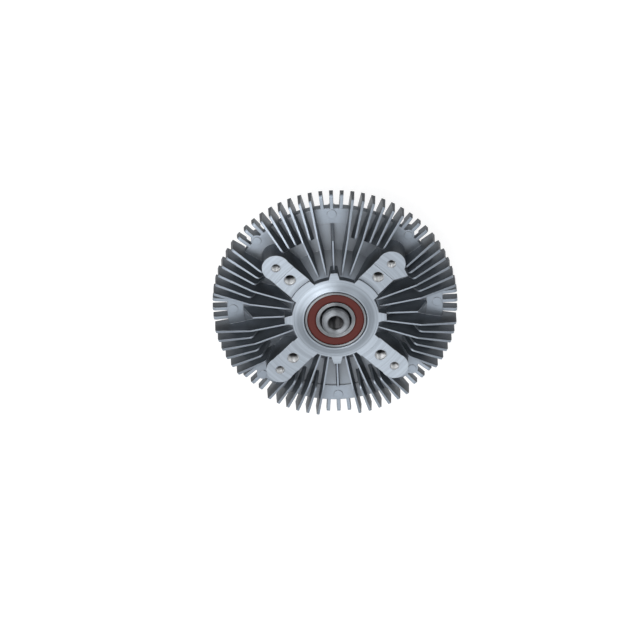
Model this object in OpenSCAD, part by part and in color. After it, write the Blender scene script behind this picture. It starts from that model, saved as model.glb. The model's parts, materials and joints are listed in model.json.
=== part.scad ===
// Viscous fan clutch: a finned housing on a sealed ball bearing, with a bimetal valve in the front cover.
// Shaft axis along +Z, rear face with the four fan arms up, front cover resting on z = 0. Millimetres.

/* [Rear housing] */
// Diameter over the fin tips
fin_tip_d = 203.8; // [196:0.2:208]
// How far the fins stand out past the rim
fin_overhang = 12; // [9:0.5:14]
// Number of fins round the housing
fin_count = 72; // [56:8:72]
// Fin thickness at the rear edge
fin_edge_t = 1.3; // [1:0.1:1.8]
// Fin thickness at the root
fin_root_t = 3.4; // [2.8:0.1:3.6]
// Height of the fins above the rear wall
fin_h = 18.6; // [14:0.2:20]
// Height of the fin tips above the rear wall
fin_tip_h = 8; // [5:0.5:11]
// Radius of the rounded fin tips
fin_tip_round = 2.5; // [1.5:0.5:4]
// Radius of the rounded inner corners of the fins
fin_heel_round = 3; // [1.5:0.5:4]
// Distance from the rim inwards to the bend of the fin edge
fin_bend_inset = 18; // [15:0.5:20]
// Distance from the bend inwards to the end of the inner ribs
rib_inset = 3.4; // [1:0.2:5]
// Lean of the inner fin ends
fin_end_lean = 24; // [18:1:26]
// Drop of the fin tips below the joint face
fin_skirt = 2.4; // [1.5:0.1:3.8]
// Thickness of the housing walls
housing_wall = 4.5; // [4:0.1:6]
// Thickness of the rim
rim_t = 6.8; // [6.6:0.1:7.4]
// Width of the raised band along the rim
pad_w = 13.7; // [11:0.1:15]
// Height of the raised band along the rim
pad_step = 1; // [0.6:0.1:1.6]
// Height of the bearing hub above the rear wall
hub_h = 28.3; // [27.6:0.1:32]
// Width of the flat ring round the bearing
hub_ring_w = 1.2; // [1:0.1:2.5]
// Width of the sloped ring outside it
hub_slope_w = 7.8; // [5:0.1:9]
// Drop from the bearing ring to the hub disc
hub_slope_drop = 2.6; // [1.5:0.1:3]
// Width of the hub disc outside the slope
hub_disc_w = 1.2; // [0.8:0.1:3]
// Radial run of the hub cone
cone_run = 15.5; // [12:0.5:17]
// Width of the cardinal hub tabs
tab_w = 10; // [8:0.5:12]
// Width of the hub tabs at their tips
tab_tip_w = 5.7; // [4:0.1:7]
// Length of the cardinal hub tabs
tab_len = 6; // [4:0.5:8]

/* [Fan arms] */
// Bolt circle diameter of the outer holes
outer_pcd = 134.7; // [130:0.1:138]
// Bolt circle diameter of the inner holes
inner_pcd = 103; // [98:0.5:108]
// Diameter of the outer holes
outer_hole_d = 6.8; // [5:0.1:8.5]
// Diameter of the inner holes
inner_hole_d = 9; // [7:0.1:10.2]
// Depth of the bolt holes
arm_hole_depth = 19; // [12:0.5:21]
// Width of the arms
arm_w = 22.2; // [19:0.2:23]
// Extra diameter of the rounded arm ends
arm_end_extra = 1; // [0.8:0.2:2]
// Drop from the hub disc to the arm faces
arm_drop = 2; // [1:0.1:3]
// Radius of the turned disc on the arms
arm_disc_r = 41; // [38.5:0.5:43]
// Drop of the pads at the arm ends
arm_pad_drop = 0.6; // [0.3:0.1:1]
// Reach of the side lug on one arm
lug_reach = 6.4; // [4:0.2:8]

/* [Bearing] */
// Bore of the ball bearing
bearing_bore = 25; // [22:1:26]
// Outside diameter of the ball bearing
bearing_od = 52; // [50:1:54]
// Width of the ball bearing
bearing_w = 15; // [13:1:16]
// Depth of the bearing below the hub face
bearing_inset = 0.4; // [0.2:0.1:1]
// Diameter of the balls
ball_d = 7.9; // [7:0.1:8.2]
// Number of balls
ball_count = 9; // [7:1:9]
// Thickness of the rubber seals
seal_t = 1.8; // [1.2:0.1:2]
// Corner chamfer of the rings
ring_chamfer = 1; // [0.6:0.1:1.3]

/* [Drive shaft] */
// Diameter of the shaft end
spigot_d = 22.8; // [19:0.2:23.4]
// Chamfer of the shaft end
spigot_chamfer = 1.4; // [0.6:0.1:2]
// Reach of the shaft end past the hub face
spigot_h = 5.2; // [3:0.2:8]
// Diameter of the threaded hole
thread_d = 12.4; // [10:0.2:13]
// Depth of the threaded hole
thread_depth = 30; // [20:1:32]
// Diameter of the shaft at the rotor
rotor_seat_d = 20; // [19:0.5:22]
// Length of the collar below the bearing
collar_t = 6; // [4:0.5:8]

/* [Rotor] */
// Thickness of the rotor web
rotor_web = 4; // [3:0.2:5]
// Number of sealing lands
land_count = 5; // [3:1:5]
// Thickness of each land
land_t = 2.2; // [1.8:0.1:2.3]
// Height of the lands
land_h = 5; // [3.5:0.1:5.4]
// Gap between neighbouring lands
land_gap = 0.6; // [0.5:0.05:0.7]
// Gap before and behind the rotor
rotor_gap = 0.8; // [0.6:0.1:1.2]
// Gap round the edge of the rotor
rotor_edge_gap = 1.5; // [1:0.1:2]
// Outside diameter of the rotor hub
rotor_hub_d = 34; // [30:1:38]

/* [Front cover] */
// Height of the cover fins
cover_fin_h = 10; // [9:0.5:12]
// Number of cover fins
cover_fin_count = 40; // [24:8:40]
// Thickness of the cover front wall
cover_wall = 4; // [3.5:0.1:5]
// Thickness of the cover side wall
cover_side = 3; // [2.5:0.1:3.2]
// Thickness of the cover flange
flange_t = 4.5; // [3.5:0.1:5]
// Inset of the flange from the housing rim
flange_inset = 2; // [1:0.1:3]
// Radius of the well for the bimetal coil
well_r = 25; // [24:0.5:28]
// Wall round the well
well_wall = 4.5; // [4:0.5:6]
// Depth of the well
well_depth = 9; // [8.6:0.1:10]
// Height of the oil reservoir
reservoir_h = 4; // [3.6:0.1:6]
// Thickness of the separator plate
plate_t = 1.2; // [1:0.1:1.6]

/* [Fasteners and seals] */
// Thread diameter of the cover screws
screw_d = 4; // [3.5:0.5:5]
// Head diameter of the cover screws
screw_head_d = 7; // [6.4:0.1:7.4]
// Head height of the cover screws
screw_head_h = 2.8; // [2.4:0.1:3.4]
// Distance of the cardinal screws from the rim
screw_inset = 5.2; // [4.6:0.1:5.6]
// Distance of the screws beside the arms from the rim
corner_inset = 1.5; // [1:0.1:2.5]
// Radius of the cardinal screw ears
ear_r = 4.2; // [4:0.1:4.8]
// Radius of the screw ears beside the arms
corner_ear_r = 5; // [4.6:0.1:5.6]
// Diameter of the round marks over the cardinal screws
mark_d = 7.6; // [6:0.2:8.4]
// Diameter of the round marks beside the arms
corner_mark_d = 6.8; // [6:0.2:8]
// Thickness of the cover sealing ring
cover_seal_d = 1.8; // [1.5:0.1:1.9]
// Thread diameter of the plate screws
plate_screw_d = 3; // [2.5:0.5:3.5]

/* [Valve] */
// Diameter of the valve spindle
spindle_d = 6; // [5:0.5:7]
// Wall of the spindle bush
bush_wall = 2.5; // [2:0.1:3.5]
// Width of the valve arm
valve_w = 11; // [9:0.5:13]
// Thickness of the valve arm
valve_t = 0.8; // [0.6:0.1:1]
// Radius of the port under the valve arm
port_at = 46; // [40:0.5:50]
// Diameter of the port
port_d = 7; // [5:0.5:8]
// Thickness of the bimetal strip
coil_t = 0.9; // [0.6:0.1:1.2]
// Width of the bimetal strip
coil_w = 5.8; // [4:0.2:6]
// Number of turns of the bimetal strip
coil_turns = 6; // [4:1:6]

/* [Hidden] */
$fn = 96;
fit = 0.02;
run_fit = 0.05;
lap = 0.5;
through = 60;
thread_chamfer = 0.9;
hole_chamfer = 0.5;
quarter = 90;

// Radii of the housing
tip_r = fin_tip_d / 2;
rim_r = tip_r - fin_overhang;
screw_r = rim_r - screw_inset;
corner_screw_r = rim_r - corner_inset;
screw_hole_r = screw_d / 2 + 0.25;
ring_gap = 1.1;
groove_w = cover_seal_d + 0.6;
groove_mid = screw_r - screw_hole_r - ring_gap - groove_w / 2;
chamber_r = groove_mid - groove_w / 2 - ring_gap;
pad_in_r = rim_r - pad_w;
bend_r = rim_r - fin_bend_inset;
bore_r = bearing_od / 2 + fit;
ring_r = bearing_od / 2 + hub_ring_w;
slope_r = ring_r + hub_slope_w;
hub_r = slope_r + hub_disc_w;
cone_r = hub_r + cone_run;
rib_end_r = bend_r - rib_inset;
foot_lean = 0.4;
foot_rise = 0.5;
foot_gap = 0.8;
mark_rise = 0.5;
mark_root = 2;
rim_chamfer = 0.6;
disc_chamfer = 0.4;
// Share of the hub slope's drop after one and two thirds of its width
slope_fall = [0.45, 0.78];
round_steps = 3;
skirt_r = rim_r + 0.3;
cardinal_skirt_r = max(skirt_r, screw_r + ear_r + foot_gap);
corner_skirt_r = max(skirt_r, corner_screw_r + corner_ear_r + foot_gap);

// Radii of the rotor and its lands
rotor_r = chamber_r - rotor_edge_gap;
land_pitch = 2 * (land_t + land_gap);
land_margin = 2;
land_in_r = rotor_r - land_margin - land_count * land_pitch;
core_r = min(land_in_r - 3, cone_r - 8);
core_top_r = min(bearing_od / 2 + 4, core_r - 6);
seat_ledge = 3.5;
shoulder_r = bearing_od / 2 - seat_ledge;

// Heights from the floor up
z_res = max(well_depth, cover_fin_h) + cover_wall;
z_plate = z_res + reservoir_h;
z_rotor = z_plate + plate_t + rotor_gap;
z_web = z_rotor + rotor_web;
z_land = z_web + land_h;
z_ceiling = z_land + rotor_gap;
z_wall = z_ceiling + housing_wall;
z_pad = z_wall + pad_step;
z_joint = z_pad - rim_t;
z_hub = z_wall + hub_h;
z_disc = z_hub - hub_slope_drop;
z_arm = z_disc - arm_drop;
z_edge = z_wall + min(fin_h, hub_h - hub_slope_drop - arm_drop - 3);
z_tip = z_wall + fin_tip_h;
z_skirt = z_joint - fin_skirt;
z_flange = z_joint - flange_t;
bearing_top = z_hub - bearing_inset;
bearing_foot = bearing_top - bearing_w;
ledge_t = 3;
z_core = bearing_foot - ledge_t;
z_collar = bearing_foot - collar_t;

// Ball bearing
pitch_r = (bearing_bore + bearing_od) / 4;
ball_r = ball_d / 2;
race_r = ball_r + 0.08;
land_share = 0.78;
inner_land = pitch_r - land_share * ball_r;
outer_land = pitch_r + land_share * ball_r;
seal_inset = 0.45;
seal_step = 0.6;
seal_edge = 0.6;
seal_seat = seal_t + seal_inset + 0.05;
seal_lip_gap = 0.2;
seal_out_r = min(outer_land + 1.3, bearing_od / 2 - 1.6);
bearing_mid = bearing_foot + bearing_w / 2;

// Cover
flange_r = rim_r - flange_inset;
side_r = chamber_r + cover_side;
front_r = side_r - 7.5;
side_rise = 6.5;
cover_edge_r = side_r - 9.5;
well_out_r = well_r + well_wall;
plate_r = chamber_r - 4;
reservoir_r = plate_r - 4;
plate_screw_r = reservoir_r - 7;
plate_boss_r = plate_screw_d / 2 + 2.4;
plate_head_r = plate_screw_d / 2 + 0.9;
plate_screw_reach = 6;

// Valve
spindle_r = spindle_d / 2;
bush_r = spindle_r + bush_wall;
bush_foot = well_depth - 1;
bush_top = z_res + 1;
valve_gap = 0.3;
z_valve = z_plate - valve_gap - valve_t;
tenon_r = spindle_r - 1;
z_coil = well_depth - 1.2 - coil_w;
coil_in_r = spindle_r + 1.3;
coil_out_r = well_r - 5;
coil_pitch = (coil_out_r - coil_in_r) / coil_turns;
coil_tail_r = well_r + 2.6;
coil_gap = 0.15;
ring_r_small = 0.4;

cast_colour = [0.72, 0.74, 0.77];
steel_colour = [0.62, 0.64, 0.67];
seal_colour = [0.42, 0.22, 0.17];

// A ring of copies round the shaft axis
module around(count, first = 0) {
    for (i = [0 : count - 1]) rotate(first + i * 360 / count) children();
}

// A plain ring of rectangular section
module band(inner, outer, low, high) {
    rotate_extrude() polygon([[inner, low], [outer, low], [outer, high], [inner, high]]);
}

// One drafted fin standing on +X: its outline in radius and height, thinner towards the edge
module drafted_fin(outline, root_z, root_t, edge_z, edge_t, far_r) {
    intersection() {
        rotate([90, 0, 0]) translate([0, 0, -2 * root_t]) linear_extrude(4 * root_t) polygon(outline);
        rotate([90, 0, 90]) linear_extrude(far_r + 2 * lap)
            polygon([[-root_t / 2, root_z], [root_t / 2, root_z],
                [edge_t / 2, edge_z], [-edge_t / 2, edge_z]]);
    }
}

// Copies at the cardinal screws, at the screws beside the arms, and at all of them
module at_cardinal() around(4) translate([screw_r, 0, 0]) children();

module at_corners() around(4, 45) translate([corner_screw_r, 0, 0]) children();

module at_screws() {
    at_cardinal() children();
    at_corners() children();
}

// Lower edge of a housing fin: in from the tip, then up at the radius that clears the cover
function fin_foot(clear) = [[tip_r, z_skirt], [clear, z_skirt], [clear - foot_lean, z_joint + foot_rise],
    [rim_r - lap, z_joint + foot_gap]];

// Points that round off a corner between two edges, from the angles that the edges face
function rounded(corner, first, last, r) = let (mid = (first + last) / 2, reach = r / cos((first - last) / 2))
    [for (i = [0 : round_steps]) let (a = first + (last - first) * i / round_steps)
        corner + r * [cos(a), sin(a)] - reach * [cos(mid), sin(mid)]];

// Rounded tip of a fin whose upper edge runs straight from one point to the tip
function fin_slope(from, tip_z) = atan2(from.y - tip_z, tip_r - from.x);
function fin_tip(from, tip_z) = rounded([tip_r, tip_z], quarter - fin_slope(from, tip_z), 0, fin_tip_round);

// Point where the upper edge of the tall fins bends, and the rounded inner end of a fin that starts there
fin_bend = [bend_r, z_edge];
fin_heel = rounded(fin_bend, 180 - fin_end_lean, quarter - fin_slope(fin_bend, z_tip), fin_heel_round);

function fin_lean(h) = h * tan(fin_end_lean);

module housing_fin(outline) {
    drafted_fin(outline, z_skirt - 1, fin_root_t, z_edge + 1, fin_edge_t, tip_r);
}

module long_fin() {
    housing_fin(concat(fin_foot(skirt_r), [[rim_r - 2, z_wall - 1], [hub_r - lap, z_wall - 1],
        [hub_r - lap, z_edge], fin_bend], fin_tip(fin_bend, z_tip)));
}

module middle_fin() {
    housing_fin(concat(fin_foot(skirt_r), [[rim_r - 2, z_wall - 1],
        [bend_r - fin_lean(z_edge - z_wall + 1), z_wall - 1]], fin_heel, fin_tip(fin_bend, z_tip)));
}

module short_fin(clear) {
    start = [rim_r - 3, z_pad - 0.25];
    housing_fin(concat(fin_foot(clear), [[rim_r - 3, z_joint + 2], start],
        fin_tip(start, z_pad - 0.5)));
}

module inner_rib() {
    housing_fin([[hub_r - lap, z_wall - 1], [rib_end_r + fin_lean(z_edge - z_wall + 1), z_wall - 1],
        [rib_end_r, z_edge], [hub_r - lap, z_edge]]);
}

// Angle of a fin from the nearest of the four cardinal directions
function from_cardinal(a) = abs((a + 45) % quarter - 45);
boss_zone = 7.5;
long_zone = 22.5;

module fins() {
    for (i = [0 : fin_count - 1]) {
        a = i * 360 / fin_count;
        c = from_cardinal(a);
        rotate(a) {
            if (c < boss_zone) short_fin(cardinal_skirt_r);
            else if (c > 45 - boss_zone) short_fin(corner_skirt_r);
            else if (c < long_zone && i % 2 == 0) long_fin();
            else middle_fin();
        }
    }
    around(4) inner_rib();
}

module arm_plan() {
    around(4, 45) {
        translate([0, -arm_w / 2]) square([outer_pcd / 2, arm_w]);
        translate([outer_pcd / 2, 0]) circle(d = arm_w + arm_end_extra);
    }
}

module arm_blanks() {
    translate([0, 0, z_ceiling + 1]) linear_extrude(z_arm - z_ceiling - 1) arm_plan();
    intersection() {
        translate([0, 0, z_wall]) linear_extrude(z_disc - z_wall) arm_plan();
        cylinder(r = arm_disc_r, h = z_disc);
    }
    // Side lug beside the outer hole of one arm
    rotate(45) translate([0, 0, z_wall - 1]) linear_extrude(z_arm - arm_pad_drop / 2 - z_wall + 1)
        polygon([[outer_pcd / 2 - 9.5, -arm_w / 2 + 1], [outer_pcd / 2 + 3.5, -arm_w / 2 + 1],
            [outer_pcd / 2 + 3.5, -arm_w / 2 - 0.6], [outer_pcd / 2 + 1.2, -arm_w / 2 - lug_reach],
            [outer_pcd / 2 - 9.5, -arm_w / 2 - 0.4]]);
}

module hub_tabs() {
    around(4) translate([0, 0, z_wall]) linear_extrude(z_disc - z_wall)
        polygon([[hub_r - 2, -tab_w / 2], [hub_r + tab_len, -tab_tip_w / 2], [hub_r + tab_len, tab_tip_w / 2],
            [hub_r - 2, tab_w / 2]]);
}

module housing_blank() {
    difference() {
        union() {
            rotate_extrude() polygon([[0, z_joint - lap], [rim_r, z_joint - lap],
                [rim_r, z_pad - rim_chamfer], [rim_r - rim_chamfer, z_pad], [pad_in_r, z_pad],
                [pad_in_r, z_wall], [cone_r, z_wall],
                [hub_r, z_edge + 1], [hub_r, z_disc - disc_chamfer], [hub_r - disc_chamfer, z_disc],
                [slope_r, z_disc], [ring_r + hub_slope_w * 2 / 3, z_hub - hub_slope_drop * slope_fall[1]],
                [ring_r + hub_slope_w / 3, z_hub - hub_slope_drop * slope_fall[0]],
                [ring_r, z_hub], [0, z_hub]]);
            at_corners() translate([0, 0, z_joint - lap])
                cylinder(r = corner_ear_r, h = z_pad - z_joint + lap - 0.1);
        }
        // Joint face
        translate([0, 0, z_joint - 2 * lap]) cylinder(r = tip_r, h = 2 * lap);
    }
    // Round marks over the screws
    at_cardinal() translate([0, 0, z_pad - mark_root]) cylinder(d = mark_d, h = mark_root + mark_rise);
    at_corners() translate([0, 0, z_pad - mark_root]) cylinder(d = corner_mark_d, h = mark_root + mark_rise);
}

module housing_hollow() {
    rotate_extrude() polygon([[0, z_joint - 1], [chamber_r, z_joint - 1], [chamber_r, z_ceiling],
        [core_r, z_ceiling], [core_top_r, z_core], [shoulder_r, z_core], [shoulder_r, bearing_foot],
        [bore_r, bearing_foot],
        [bore_r, z_hub - hole_chamfer], [bore_r + hole_chamfer, z_hub], [bore_r + hole_chamfer, z_hub + 1],
        [0, z_hub + 1]]);
}

module blind_hole(d, depth) {
    translate([0, 0, -depth]) cylinder(d = d, h = depth + 5);
    translate([0, 0, -hole_chamfer]) cylinder(d1 = d, d2 = d + 2 * hole_chamfer, h = hole_chamfer);
}

module rear_housing() color(cast_colour) {
    difference() {
        union() {
            housing_blank();
            arm_blanks();
            hub_tabs();
            fins();
        }
        housing_hollow();
        around(4, 45) {
            translate([outer_pcd / 2, 0, z_arm - arm_pad_drop]) blind_hole(outer_hole_d, arm_hole_depth);
            translate([inner_pcd / 2, 0, z_arm]) blind_hole(inner_hole_d, arm_hole_depth);
            translate([(outer_pcd + inner_pcd) / 4 - 1.7, -arm_w, z_arm - arm_pad_drop])
                cube([outer_pcd / 4, 2 * arm_w, 5]);
        }
        at_screws() translate([0, 0, z_joint - 1]) cylinder(r = screw_d / 2 + run_fit, h = rim_t);
    }
    // Sealing lands of the working chamber
    for (i = [0 : land_count - 1]) {
        r = land_in_r + i * land_pitch + land_t + land_gap;
        band(r, r + land_t, z_web + rotor_gap, z_ceiling + lap);
    }
}

module cover_fin() {
    drafted_fin([[well_out_r - lap, 0], [cover_edge_r, 0], [side_r + 0.4, cover_fin_h + side_rise],
        [side_r - lap, cover_fin_h + side_rise + 2], [front_r - 1, cover_fin_h + 1.5],
        [well_out_r - lap, cover_fin_h + 1.5]],
        z_joint, 3.4, -1, 1.9, side_r);
}

module front_cover() color(cast_colour) {
    difference() {
        union() {
            rotate_extrude() polygon([[0, 0], [well_out_r, 0], [well_out_r, cover_fin_h],
                [front_r, cover_fin_h], [side_r, cover_fin_h + side_rise], [side_r, z_flange + flange_t / 2],
                [0, z_flange + flange_t / 2]]);
            around(cover_fin_count) cover_fin();
            translate([0, 0, z_flange]) linear_extrude(flange_t) {
                circle(r = flange_r);
                at_cardinal() circle(r = ear_r);
                at_corners() circle(r = corner_ear_r);
            }
        }
        translate([0, 0, -1]) cylinder(r = well_r, h = well_depth + 1);
        difference() {
            rotate_extrude() polygon([[0, z_res], [reservoir_r, z_res], [reservoir_r, z_plate],
                [plate_r + run_fit, z_plate], [plate_r + run_fit, z_plate + plate_t],
                [chamber_r, z_plate + plate_t], [chamber_r, z_joint + 1], [0, z_joint + 1]]);
            around(4, 45) translate([plate_screw_r, 0, z_res - 1])
                cylinder(r = plate_boss_r, h = z_plate - z_res + 1);
        }
        at_screws() translate([0, 0, z_flange - 1]) cylinder(r = screw_hole_r, h = flange_t + 2);
        around(4, 45) translate([plate_screw_r, 0, z_plate + plate_t - plate_screw_reach - 0.3])
            cylinder(r = plate_screw_d / 2 + run_fit, h = plate_screw_reach);
        band(groove_mid - groove_w / 2, groove_mid + groove_w / 2, z_joint - cover_seal_d - 0.1, z_joint + 1);
        translate([0, 0, well_depth - 2]) cylinder(r = bush_r + fit, h = through);
        // Slot that holds the outer end of the bimetal strip
        translate([well_r - 2, -coil_t / 2 - coil_gap, -1]) cube([coil_tail_r + coil_gap - well_r + 2,
            coil_t + 2 * coil_gap, z_coil + coil_w + coil_gap + 1]);
    }
}

module cover_screws() color(steel_colour) at_screws() difference() {
    union() {
        translate([0, 0, z_flange - screw_head_h]) cylinder(d = screw_head_d, h = screw_head_h);
        translate([0, 0, z_flange - 1]) cylinder(d = screw_d, h = flange_t + rim_t - 0.5);
    }
    translate([0, 0, z_flange - screw_head_h - 1])
        cylinder(d = screw_d * 0.92, h = 1 + screw_head_h * 0.6, $fn = 6);
}

module cover_seal() color([0.1, 0.1, 0.1]) rotate_extrude()
    translate([groove_mid, z_joint - cover_seal_d / 2 - 0.05]) circle(d = cover_seal_d);

module separator_plate() color(steel_colour) difference() {
    translate([0, 0, z_plate]) cylinder(r = plate_r, h = plate_t);
    translate([port_at, 0, z_plate - 1]) cylinder(d = port_d, h = plate_t + 2);
    rotate(180) translate([plate_screw_r, 0, z_plate - 1]) cylinder(d = port_d / 2, h = plate_t + 2);
    around(4, 45) translate([plate_screw_r, 0, z_plate]) {
        translate([0, 0, -1]) cylinder(r = plate_screw_d / 2 + run_fit, h = plate_t + 2);
        cylinder(r1 = plate_screw_d / 2 + run_fit, r2 = plate_head_r + run_fit, h = plate_t);
    }
}

module plate_screws() color(steel_colour) around(4, 45) translate([plate_screw_r, 0, z_plate]) {
    cylinder(r1 = plate_screw_d / 2, r2 = plate_head_r, h = plate_t);
    translate([0, 0, plate_t - plate_screw_reach])
        cylinder(d = plate_screw_d, h = plate_screw_reach - plate_t / 2);
}

module bearing_outer_ring() color(steel_colour) difference() {
    rotate_extrude() polygon([[seal_out_r, bearing_foot], [bearing_od / 2 - ring_chamfer, bearing_foot],
        [bearing_od / 2, bearing_foot + ring_chamfer], [bearing_od / 2, bearing_top - ring_chamfer],
        [bearing_od / 2 - ring_chamfer, bearing_top], [seal_out_r, bearing_top],
        [seal_out_r, bearing_top - seal_seat], [outer_land, bearing_top - seal_seat],
        [outer_land, bearing_foot + seal_seat], [seal_out_r, bearing_foot + seal_seat]]);
    rotate_extrude() translate([pitch_r, bearing_mid]) circle(r = race_r);
}

module bearing_inner_ring() color(steel_colour) difference() {
    rotate_extrude() polygon([[bearing_bore / 2 + fit, bearing_foot + ring_chamfer],
        [bearing_bore / 2 + ring_chamfer, bearing_foot], [inner_land, bearing_foot],
        [inner_land, bearing_top], [bearing_bore / 2 + ring_chamfer, bearing_top],
        [bearing_bore / 2 + fit, bearing_top - ring_chamfer]]);
    rotate_extrude() translate([pitch_r, bearing_mid]) circle(r = race_r);
}

module bearing_balls() color([0.8, 0.8, 0.82]) around(ball_count)
    translate([pitch_r, 0, bearing_mid]) sphere(r = ball_r);

module bearing_cage() color([0.7, 0.55, 0.3]) difference() {
    band(pitch_r - 1.2, pitch_r + 1.2, bearing_mid - ball_r - 0.6, bearing_mid + ball_r + 0.6);
    around(ball_count) translate([pitch_r, 0, bearing_mid]) sphere(r = ball_r + 0.1);
}

// Rubber seal disc with two shallow grooves in its outer face
module seal_disc() {
    inner = inner_land + seal_lip_gap;
    outer = seal_out_r - fit;
    low = seal_t - seal_step;
    rotate_extrude() polygon([[inner, 0], [outer, 0], [outer, low], [outer - seal_edge, low],
        [outer - seal_edge - 0.3, seal_t], [inner + seal_edge + 0.3, seal_t],
        [inner + seal_edge, low], [inner, low]]);
}

module bearing_rear_seal() color(seal_colour)
    translate([0, 0, bearing_top - seal_inset - seal_t]) seal_disc();

module bearing_front_seal() color(seal_colour) translate([0, 0, bearing_foot + seal_inset + seal_t])
    mirror([0, 0, 1]) seal_disc();

clip_t = 1.1;
clip_slot = 1.2;
clip_depth = 0.8;
end_pocket = 3.2;
seat_relief = 4;
z_hub_foot = z_rotor + end_pocket;
shaft_foot = z_rotor + 1;

module drive_shaft() color(steel_colour) {
    top = z_hub + spigot_h;
    seat_end = bearing_top - seat_relief;
    seat = rotor_seat_d / 2;
    collar = min(inner_land - 0.7, bearing_bore / 2 + 3);
    difference() {
        rotate_extrude() polygon([[0, shaft_foot], [seat - 0.6, shaft_foot], [seat, shaft_foot + 0.5],
            [seat, z_hub_foot - clip_slot], [seat - clip_depth, z_hub_foot - clip_slot],
            [seat - clip_depth, z_hub_foot], [seat, z_hub_foot], [seat, z_collar], [collar, z_collar],
            [collar, bearing_foot], [bearing_bore / 2, bearing_foot], [bearing_bore / 2, seat_end],
            [spigot_d / 2, seat_end], [spigot_d / 2, top - spigot_chamfer],
            [spigot_d / 2 - spigot_chamfer, top], [0, top]]);
        translate([0, 0, top - thread_depth]) cylinder(d = thread_d, h = thread_depth + 1);
        translate([0, 0, top - thread_depth - thread_d / 4])
            cylinder(d1 = 0, d2 = thread_d, h = thread_d / 4);
        translate([0, 0, top - thread_chamfer])
            cylinder(d1 = thread_d, d2 = thread_d + 2 * thread_chamfer, h = thread_chamfer);
        translate([0, 0, top]) cylinder(d = thread_d + 2 * thread_chamfer, h = 1);
    }
}

module rotor_disc() color(cast_colour) {
    seat = rotor_seat_d / 2 + fit;
    pocket = rotor_seat_d / 2 + 5;
    difference() {
        rotate_extrude() polygon([[seat, z_hub_foot], [pocket, z_hub_foot], [pocket, z_rotor],
            [rotor_r, z_rotor], [rotor_r, z_web], [rotor_hub_d / 2 + 3, z_web], [rotor_hub_d / 2, z_web + 3],
            [rotor_hub_d / 2, z_collar], [seat, z_collar]]);
        // Oil passages through the web
        around(6, 30) translate([(rotor_hub_d / 2 + 3 + land_in_r) / 2, 0, z_rotor - 1])
            cylinder(d = 6, h = rotor_web + 2);
    }
    for (i = [0 : land_count - 1])
        band(land_in_r + i * land_pitch, land_in_r + i * land_pitch + land_t, z_web - lap, z_land);
}

module rotor_retaining_ring() color(steel_colour) translate([0, 0, z_hub_foot - clip_t - 0.05]) rotate(20)
    rotate_extrude(angle = 320)
        polygon([[rotor_seat_d / 2 - clip_depth + run_fit, 0], [rotor_seat_d / 2 + 2.2, 0],
            [rotor_seat_d / 2 + 2.2, clip_t], [rotor_seat_d / 2 - clip_depth + run_fit, clip_t]]);

module spindle_bush() color([0.75, 0.6, 0.3])
    band(spindle_r + run_fit, bush_r, bush_foot, bush_top);

seal_slot_z = (bush_foot + bush_top) / 2;
seal_slot_h = 2 * ring_r_small + 0.3;

module valve_spindle() color(steel_colour) {
    foot = z_coil - 0.3;
    slot_top = z_coil + coil_w + 0.2;
    neck = spindle_r - 2 * ring_r_small - 0.02;
    difference() {
        rotate_extrude() polygon([[0, foot], [spindle_r - 0.4, foot], [spindle_r, foot + 0.4],
            [spindle_r, seal_slot_z - seal_slot_h / 2], [neck, seal_slot_z - seal_slot_h / 2],
            [neck, seal_slot_z + seal_slot_h / 2], [spindle_r, seal_slot_z + seal_slot_h / 2],
            [spindle_r, z_valve], [tenon_r, z_valve], [tenon_r, z_valve + valve_t], [0, z_valve + valve_t]]);
        translate([-spindle_d, -coil_t / 2 - coil_gap, foot - 1])
            cube([2 * spindle_d, coil_t + 2 * coil_gap, slot_top - foot + 1]);
    }
}

module spindle_seal() color([0.1, 0.1, 0.1]) rotate_extrude()
    translate([spindle_r - ring_r_small, seal_slot_z]) circle(r = ring_r_small);

module valve_arm() color(steel_colour) translate([0, 0, z_valve]) linear_extrude(valve_t) difference() {
    union() {
        circle(d = valve_w + 3);
        translate([0, -valve_w / 2]) square([port_at, valve_w]);
        translate([port_at, 0]) circle(d = valve_w + 1);
    }
    circle(r = tenon_r + fit);
}

// Spiral strip: half-thickness side points of an even spiral
coil_steps = 28;
function coil_points(off) = [for (i = [0 : coil_steps * coil_turns])
    let (a = i * 360 / coil_steps, r = coil_in_r + coil_pitch * i / coil_steps + off)
        [r * cos(a), r * sin(a)]];
function turned(list) = [for (i = [len(list) - 1 : -1 : 0]) list[i]];

module bimetal_coil() color([0.7, 0.66, 0.55]) translate([0, 0, z_coil]) linear_extrude(coil_w) union() {
    polygon(concat(coil_points(coil_t / 2), turned(coil_points(-coil_t / 2))));
    translate([-spindle_r, -coil_t / 2]) square([coil_in_r + spindle_r, coil_t]);
    translate([coil_out_r, -coil_t / 2]) square([coil_tail_r - coil_out_r, coil_t]);
}

rear_housing();
front_cover();
cover_screws();
cover_seal();
separator_plate();
plate_screws();
bearing_outer_ring();
bearing_inner_ring();
bearing_balls();
bearing_cage();
bearing_rear_seal();
bearing_front_seal();
drive_shaft();
rotor_disc();
rotor_retaining_ring();
spindle_bush();
valve_spindle();
spindle_seal();
valve_arm();
bimetal_coil();
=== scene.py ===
"""Looks of the viscous fan clutch: cast housing, sealed bearing, drive shaft and valve gear."""

import json
import logging
import math
from dataclasses import dataclass, field
from enum import Enum
from typing import Union

import bmesh
import bpy
from mathutils import Matrix, Vector

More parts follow.
